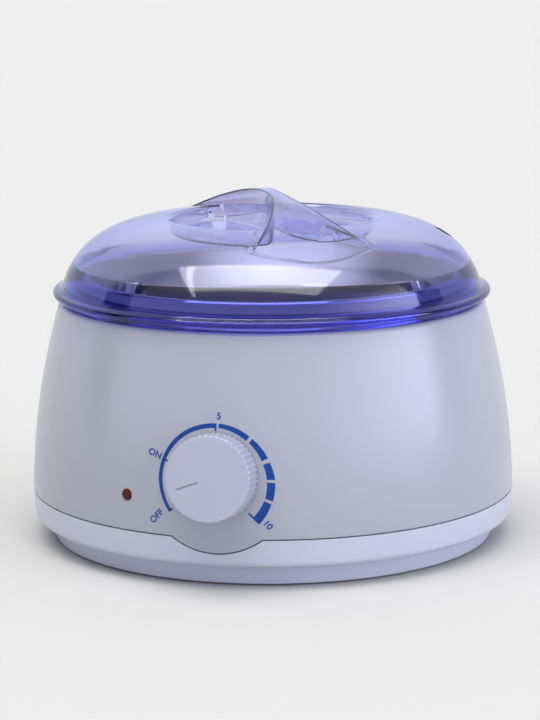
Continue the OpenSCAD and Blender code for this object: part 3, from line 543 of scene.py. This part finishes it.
def half_section(x, wall):
    """(y, z) of one face from the middle of the grip out to the grid's edge, at x along it."""
    reach = math.sqrt(max(0.0, GRID_R**2 - x * x))
    spread = math.sqrt(SCOOP_R**2 - x * x)
    ring = math.sqrt(max(0.0, PIT_R**2 - x * x))
    outer_side = WAIST + SCOOP_R - spread
    sunk = smooth_step(0, PIT_SINK, ring - outer_side)
    side = min(outer_side - wall * SCOOP_R / spread, SIDE_SHARE * reach)
    rim = ring + wall * min(STEEPEST_WALL, PIT_R / max(ring, LEAST_RING))
    rim = min(
        max(rim, side + RIM_LEAST * (reach - side)), side + RIM_MOST * (reach - side)
    )
    room = WIDTH_SHARE * (rim - side)

    def roof_at(y):
        return roof_z(math.hypot(x, y), wall)

    def dome_at(y):
        r = math.hypot(x, y)
        return dome_z(r, inner_inset(r) if wall else 0)

    def floor_at(y):
        return dome_at(y) - sunk * (dome_at(y) - PIT_Z + wall)

    drop = max(0.0, roof_at(side) - floor_at(side))
    bank = max(0.0, dome_at(rim) - floor_at(rim))
    edge, edge_w = rounding(INNER_EDGE_ROUND if wall else EDGE_ROUND, drop, WIDTH_SHARE * side)
    foot, foot_w = rounding(PIT_FILLET + wall, drop, room, room)
    heel, heel_w = rounding(PIT_FILLET + wall, bank, room, room)
    lip, lip_w = rounding(
        max(RIM_ROUND - wall, INNER_RIM_ROUND), bank, WIDTH_SHARE * (reach - rim)
    )

    points = [(0.0, roof_at(0))]
    line(points, 0, side - edge_w, CROWN_STEPS, roof_at)
    top = roof_at(side - edge_w)
    arc(points, (side - edge_w, top - edge), edge_w, edge, 90, 0, EDGE_STEPS)
    low = floor_at(side + foot_w) + foot
    points.append((side, (top - edge + low) / 2))
    points.append((side, low))
    arc(points, (side + foot_w, low), foot_w, foot, 180, 270, FILLET_STEPS)
    line(points, side + foot_w, rim - heel_w, FLOOR_STEPS, floor_at)
    low = floor_at(rim - heel_w) + heel
    arc(points, (rim - heel_w, low), heel_w, heel, -90, 0, FILLET_STEPS)
    top = dome_at(rim + lip_w)
    points.append((rim, (top - lip + low) / 2))
    points.append((rim, top - lip))
    arc(points, (rim + lip_w, top - lip), lip_w, lip, 180, 90, FILLET_STEPS)
    line(points, rim + lip_w, reach, RIM_STEPS, dome_at)
    return points


def dome_run(corner, inset_at):
    """(r, z) along the dome, from past the grid's edge out to its corner at the crease."""
    points = []
    for k in range(1, DOME_STEPS + 1):
        r = GRID_R + (corner - GRID_R) * math.sin(math.pi / 2 * k / DOME_STEPS)
        points.append((r, dome_z(r, inset_at(r))))
    return points


def ring_section():
    """(r, z) between the grids: down the outside, round the flange and up the inside."""
    corner = dome_side(CREASE_Z, 0)
    points = dome_run(corner, lambda r: 0)
    points.append((corner + CREASE_PAST, CREASE_Z - CREASE_ROUND))
    points.append((SKIRT_R - EASE_IN, FLANGE_TOP + EASE_UP))
    points.append((SKIRT_R, FLANGE_TOP + NECK_UP))
    points.append((SKIRT_R + NECK_OUT, FLANGE_TOP))
    half = (FLANGE_TOP - FLANGE_LOW) / 2
    arc(points, (FLANGE_R - half, FLANGE_LOW + half), half, half, 90, -90, FLANGE_STEPS)
    points.append((FOOT_OUT_R + UNDER_OUT, FLANGE_LOW))
    points.append((FOOT_OUT_R, FLANGE_LOW - UNDER_DOWN))
    points.append((FOOT_OUT_R, FOOT_Z + FOOT_ROUND))
    points.append((FOOT_OUT_R - FOOT_ROUND, FOOT_Z))
    inner_r = SKIRT_R - LID_WALL - LID_SWELL
    points.append((inner_r + FOOT_ROUND, FOOT_Z))
    points.append((inner_r, FOOT_Z + FOOT_ROUND))
    points.append((inner_r, FLANGE_TOP))
    points.append((inner_r - EASE_IN, FLANGE_TOP + EASE_UP))
    corner = dome_side(CREASE_Z, LID_WALL + LID_SWELL)
    points.append((corner + INNER_CREASE_PAST, CREASE_Z - CREASE_ROUND))
    # The inner grid's own edge takes the place of the last point
    points += reversed(dome_run(corner, inner_inset)[1:])
    return points


def add_grid(form, wall):
    """One face inside the ring. Returns its edge loop, anticlockwise from +X."""
    columns = []
    for i in range(COLUMNS + 1):
        x = GRID_R * math.cos(math.pi * i / COLUMNS)
        if i in (0, COLUMNS):
            inset = inner_inset(GRID_R) if wall else 0
            columns.append([form.verts.new((x, 0, dome_z(GRID_R, inset)))])
            continue
        half = half_section(x, wall)
        section = [(-y, z) for y, z in reversed(half[1:])] + half
        columns.append([form.verts.new((x, y, z)) for y, z in section])
    for one, two in zip(columns, columns[1:]):
        if len(one) == 1:
            one = one * len(two)
        elif len(two) == 1:
            two = two * len(one)
        for k in range(len(one) - 1):
            corners = [one[k], one[k + 1], two[k + 1], two[k]]
            form.faces.new([v for j, v in enumerate(corners) if v is not corners[j - 1]])
    loop = [column[-1] for column in columns]
    return loop + [column[0] for column in columns[-2:0:-1]]


def make_lid():
    form = bmesh.new()
    outer = add_grid(form, 0)
    inner = add_grid(form, LID_WALL)
    loops = [outer]
    count = len(outer)
    for r, z in ring_section():
        loop = []
        for k in range(count):
            a = 2 * math.pi * k / count
            loop.append(form.verts.new((r * math.cos(a), r * math.sin(a), z)))
        loops.append(loop)
    loops.append(inner)
    for one, two in zip(loops, loops[1:]):
        for k in range(count):
            after = (k + 1) % count
            form.faces.new([one[k], one[after], two[after], two[k]])
    form.transform(Matrix.Scale(MM, 4) @ Matrix.Rotation(GRIP_TURN, 4, "Z"))
    bmesh.ops.recalc_face_normals(form, faces=form.faces)
    lid = as_object("lid_clear", form)
    drill_vent(lid)
    lid.data.shade_smooth()
    lid.data.set_sharp_from_angle(angle=LID_SHARP_ANGLE)
    wear(lid, lid_plastic())
    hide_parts("lid")
    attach(lid, "lid")


def drill_vent(lid):
    inner, outer = VENT_RING_R - VENT_R, VENT_RING_R + VENT_R
    tilt = math.atan2(dome_z(inner, 0) - dome_z(outer, 0), outer - inner)
    form = bmesh.new()
    bmesh.ops.create_cone(
        form,
        cap_ends=True,
        segments=VENT_SIDES,
        radius1=VENT_R * MM,
        radius2=VENT_R * MM,
        depth=VENT_DRILL * MM,
    )
    place = Matrix.Translation((VENT_RING_R * MM, 0, dome_z(VENT_RING_R, 0) * MM))
    lean = Matrix.Rotation(tilt, 4, "Y")
    form.transform(Matrix.Rotation(VENT_AZIMUTH, 4, "Z") @ place @ lean)
    drill = as_object("drill", form)
    cut = lid.modifiers.new("vent", "BOOLEAN")
    cut.operation = "DIFFERENCE"
    cut.solver = "EXACT"
    cut.object = drill
    baked(lid)
    bpy.data.objects.remove(drill)


# Printing on the casing, in millimetres on the dial's face: u to the right, v up

DIAL_CENTRE = Vector((0, -91.179, 41.7))
DIAL_TILT = math.radians(7.5)
DIAL_OUT = Vector((0, -math.cos(DIAL_TILT), math.sin(DIAL_TILT)))
DIAL_UP = Vector((0, math.sin(DIAL_TILT), math.cos(DIAL_TILT)))
DIAL_RIGHT = Vector((1, 0, 0))
RAY_FROM = 20
SCALE_U, SCALE_V = -0.2, -1.4
INK = (0.003, 0.045, 0.24)
INK_ROUGHNESS = 0.4
INK_SPECULAR = 0.2
INK_LIFT = 0.035
INK_DEPTH = 0.08
CAP_HEIGHT = 2.45
CAP_SHARE = 0.73
LETTER_DEPTH = 1
LETTER_SPREAD = 0.09
BAND_STEP = 1.5
BAND_LEAST_STEPS = 4
TICK_STEPS = 3
# Bands of the scale: angle, inner radius and outer radius at each stop
BANDS = [
    [
        (215, 20.1, 21.24), (198, 20.0, 21.32), (180, 19.97, 21.37), (162, 19.75, 21.2),
        (140, 19.3, 20.9), (120, 18.9, 20.5), (104, 18.55, 20.2), (90.2, 18.4, 20.05),
    ],
    [(87.7, 18.5, 20.05), (70, 18.1, 19.9), (52.9, 17.8, 19.8)],
    [(49.1, 17.9, 19.8), (36, 17.9, 20.05), (23.9, 17.9, 20.35)],
    [(19.5, 17.9, 20.4), (11, 18.1, 20.8), (1.9, 18.3, 21.2)],
    [(-1.1, 18.4, 21.3), (-10, 18.6, 21.5), (-18.9, 18.8, 21.7)],
    [(-21.8, 18.8, 21.6), (-32, 18.85, 21.85), (-43.2, 18.9, 22.05)],
]
# Ticks: angle, inner radius, outer radius and width
TICKS = [
    (215, 19.3, 21.24, 0.75),
    (162, 18.9, 20.4, 0.75),
    (91, 17.3, 20.05, 0.8),
    (-43.5, 16.6, 22.05, 0.8),
]
# Labels: text, angle, radius of its middle and turn of its baseline, in degrees
LABELS = [
    ("OFF", 213, 26.4, 45),
    ("ON", 160.5, 24.35, -20),
    ("5", 88, 22.6, 0),
    ("10", -39.5, 24.4, -50),
]


def between_stops(stops, angle):
    """Radii of a band at an angle, with its given stops joined by straight lines."""
    for (a, low_a, high_a), (b, low_b, high_b) in zip(stops, stops[1:]):
        if b <= angle <= a:
            t = (angle - a) / (b - a)
            return low_a + (low_b - low_a) * t, high_a + (high_b - high_a) * t
    return stops[-1][1:]


def casing_face():
    """Finds the casing's face under a point of the dial, for printing on it."""
    graph = bpy.context.evaluated_depsgraph_get()
    tree = BVHTree.FromObject(nodes["upper_casing"], graph)

    def place(u, v, lift):
        start = DIAL_CENTRE + DIAL_RIGHT * u + DIAL_UP * v + DIAL_OUT * RAY_FROM
        hit, normal, _, _ = tree.ray_cast(start * MM, -DIAL_OUT)
        return hit + normal.normalized() * lift * MM

    return place


def ink_strip(form, place, section):
    """A closed strip of ink through cross sections of (inner u, v) and (outer u, v)."""
    rows = []
    for inner, outer in section:
        corners = [
            (inner, -INK_DEPTH), (outer, -INK_DEPTH), (outer, INK_LIFT), (inner, INK_LIFT)
        ]
        rows.append([form.verts.new(place(u, v, lift)) for (u, v), lift in corners])
    for one, two in zip(rows, rows[1:]):
        for k in range(4):
            after = (k + 1) % 4
            form.faces.new([one[k], one[after], two[after], two[k]])
    form.faces.new(rows[0])
    form.faces.new(rows[-1][::-1])


def polar(angle, radius):
    a = math.radians(angle)
    return SCALE_U + radius * math.cos(a), SCALE_V + radius * math.sin(a)


def add_scale(place, ink):
    form = bmesh.new()
    for stops in BANDS:
        first, last = stops[0][0], stops[-1][0]
        steps = max(BAND_LEAST_STEPS, round(abs(last - first) / BAND_STEP))
        section = []
        for k in range(steps + 1):
            angle = first + (last - first) * k / steps
            low, high = between_stops(stops, angle)
            section.append((polar(angle, low), polar(angle, high)))
        ink_strip(form, place, section)
    for angle, low, high, width in TICKS:
        half = math.degrees(width / 2 / high)
        section = []
        for k in range(TICK_STEPS + 1):
            radius = low + (high - low) * k / TICK_STEPS
            section.append((polar(angle - half, radius), polar(angle + half, radius)))
        ink_strip(form, place, section)
    bmesh.ops.recalc_face_normals(form, faces=form.faces)
    finish_ink(as_object("dial_scale", form), ink)


def add_label(place, ink, text, angle, radius, turn):
    curve = bpy.data.curves.new("label", "FONT")
    curve.body = text
    curve.align_x = "CENTER"
    curve.align_y = "CENTER"
    curve.size = CAP_HEIGHT / CAP_SHARE
    curve.extrude = LETTER_DEPTH
    curve.offset = LETTER_SPREAD
    writing = bpy.data.objects.new("label", curve)
    bpy.context.scene.collection.objects.link(writing)
    graph = bpy.context.evaluated_depsgraph_get()
    graph.update()
    mesh = bpy.data.meshes.new_from_object(writing.evaluated_get(graph))
    bpy.data.objects.remove(writing)
    u0, v0 = polar(angle, radius)
    c, s = math.cos(math.radians(turn)), math.sin(math.radians(turn))
    for vertex in mesh.vertices:
        x, y, z = vertex.co
        lift = INK_LIFT if z > 0 else -INK_DEPTH
        vertex.co = place(u0 + x * c - y * s, v0 + x * s + y * c, lift)
    label = bpy.data.objects.new("dial_label_" + text.lower(), mesh)
    bpy.context.scene.collection.objects.link(label)
    finish_ink(label, ink)


def finish_ink(piece, ink):
    wear(piece, ink)
    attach(piece, "warmer")


def add_printing():
    ink = moulded_plastic(
        "blue_ink", INK, INK_ROUGHNESS, grain=700, depth=0.000008, spread=0.06
    )
    socket(ink.node_tree.nodes["Principled BSDF"], "Specular IOR Level", INK_SPECULAR)
    place = casing_face()
    add_scale(place, ink)
    for label in LABELS:
        add_label(place, ink, *label)


# Stage: a pale table under a box light, with a bright sweep behind, a side light on the
# right and a dim room in front. Where a range is falling, the light grows downwards.

FLOOR_GREY = 0.5
FLOOR_ROUGHNESS = 0.9
FLOOR_HALF = 20
# Box light and strip, on a plane at unit height: left and right edges with how much each
# leans towards the front, ends, and the softness of the edges
BOX_LIGHT = 4.6
BOX_LEFT, LEFT_LEAN = -0.58, -0.16
BOX_RIGHT, RIGHT_LEAN = 0.45, 0.29
BOX_SOFT = 0.02
BOX_BACK, BOX_FRONT = -0.11, 0.68
END_SOFT = 0.04
STRIP_LIGHT = 4.5
STRIP_MIDDLE, STRIP_LEAN = -0.49, -0.24
STRIP_HALF = 0.03
STRIP_SOFT = 0.006
STRIP_FRONT = BOX_FRONT + 0.2
LEAST_HEIGHT = 0.02
LAMPS_Z = (0.05, 0.1)
# Room, side light and sweep: ranges of azimuth from the front, in degrees, positive to the
# right, and ranges of the direction's height
ROOM = 0.46
ROOM_LOW = 0.95
LOW_Z = (0.5, 0.1)
SIDE_LIGHT = 4.8
SIDE_AZIMUTH = (30, 100)
SIDE_Z = (0.75, 0.35)
SWEEP = 0.95
SWEEP_LEFT = (-94, -99)
SWEEP_RIGHT = (119, 122)
LEFT_GAP = (-93, -73)
RIGHT_GAP = (102, 121)
GAP_SOFT = 1
GAP_DEPTH = 0.95
LOW_COLOUR = (0.82, 0.91, 1.22)
HIGH_COLOUR = (1.02, 1.005, 0.975)
COLOUR_Z = (0.1, 0.6)


def lamp_light(n, x, front, z):
    """Box light overhead, which widens towards the front, and a strip in its left edge."""
    height = n.run("MAXIMUM", z, LEAST_HEIGHT)
    across = n.run("DIVIDE", x, height)
    forward = n.run("DIVIDE", front, height)

    def leaned(amount):
        return n.minus(across, n.times(forward, amount))

    box = n.times(
        n.rise(leaned(LEFT_LEAN), BOX_LEFT - BOX_SOFT, BOX_LEFT + BOX_SOFT),
        n.rise(leaned(RIGHT_LEAN), BOX_RIGHT + BOX_SOFT, BOX_RIGHT - BOX_SOFT),
    )
    box = n.times(box, n.between(forward, BOX_BACK, BOX_FRONT, END_SOFT))
    left, right = STRIP_MIDDLE - STRIP_HALF, STRIP_MIDDLE + STRIP_HALF
    strip = n.times(
        n.between(leaned(STRIP_LEAN), left, right, STRIP_SOFT),
        n.between(forward, BOX_BACK, STRIP_FRONT, END_SOFT),
    )
    lamps = n.plus(n.times(box, BOX_LIGHT), n.times(strip, STRIP_LIGHT))
    return n.times(lamps, n.rise(z, *LAMPS_Z))


def room_light(n, x, front, z):
    """The room with its side light, the sweep behind, and a dark gap at each of its ends."""
    azimuth = n.times(n.run("ARCTAN2", x, front), 180 / math.pi)
    behind = n.run(
        "MAXIMUM", n.rise(azimuth, *SWEEP_LEFT), n.rise(azimuth, *SWEEP_RIGHT)
    )
    side = n.times(n.rise(azimuth, *SIDE_AZIMUTH), n.rise(z, *SIDE_Z))
    side = n.times(side, SIDE_LIGHT - ROOM)
    low = n.times(n.rise(z, *LOW_Z), ROOM_LOW)
    room = n.plus(n.plus(side, low), ROOM)
    room = n.plus(room, n.times(behind, n.minus(SWEEP, room)))
    gap = n.run(
        "MAXIMUM",
        n.between(azimuth, *LEFT_GAP, GAP_SOFT),
        n.between(azimuth, *RIGHT_GAP, GAP_SOFT),
    )
    return n.times(room, n.minus(1, n.times(gap, GAP_DEPTH)))


def add_world():
    world = bpy.data.worlds.new("studio")
    world.use_nodes = True
    bpy.context.scene.world = world
    tree = world.node_tree
    n = Numbers(tree)
    direction = tree.nodes.new("ShaderNodeTexCoord").outputs["Generated"]
    split = tree.nodes.new("ShaderNodeSeparateXYZ")
    tree.links.new(direction, split.inputs["Vector"])
    x, y, z = split.outputs["X"], split.outputs["Y"], split.outputs["Z"]
    front = n.times(y, -1)
    lamps = lamp_light(n, x, front, z)
    room = room_light(n, x, front, z)
    # The camera sees the upper colour at every height
    seen = tree.nodes.new("ShaderNodeLightPath").outputs["Is Camera Ray"]
    plain = n.run("MAXIMUM", n.rise(z, *COLOUR_Z), seen)
    background = tree.nodes["Background"]
    colour = mix_colours(tree, plain, LOW_COLOUR, HIGH_COLOUR)
    tree.links.new(colour, background.inputs["Color"])
    tree.links.new(n.plus(room, lamps), background.inputs["Strength"])


def add_floor():
    form = bmesh.new()
    bmesh.ops.create_grid(form, x_segments=1, y_segments=1, size=FLOOR_HALF)
    floor = as_object("floor", form)
    material, shader = principled("floor_pale", (FLOOR_GREY,) * 3, FLOOR_ROUGHNESS)
    socket(shader, "Specular IOR Level", 0.0)
    wear(floor, material)


add_camera()
dress_nodes()
smooth_nodes()
make_lid()
add_printing()
add_world()
add_floor()
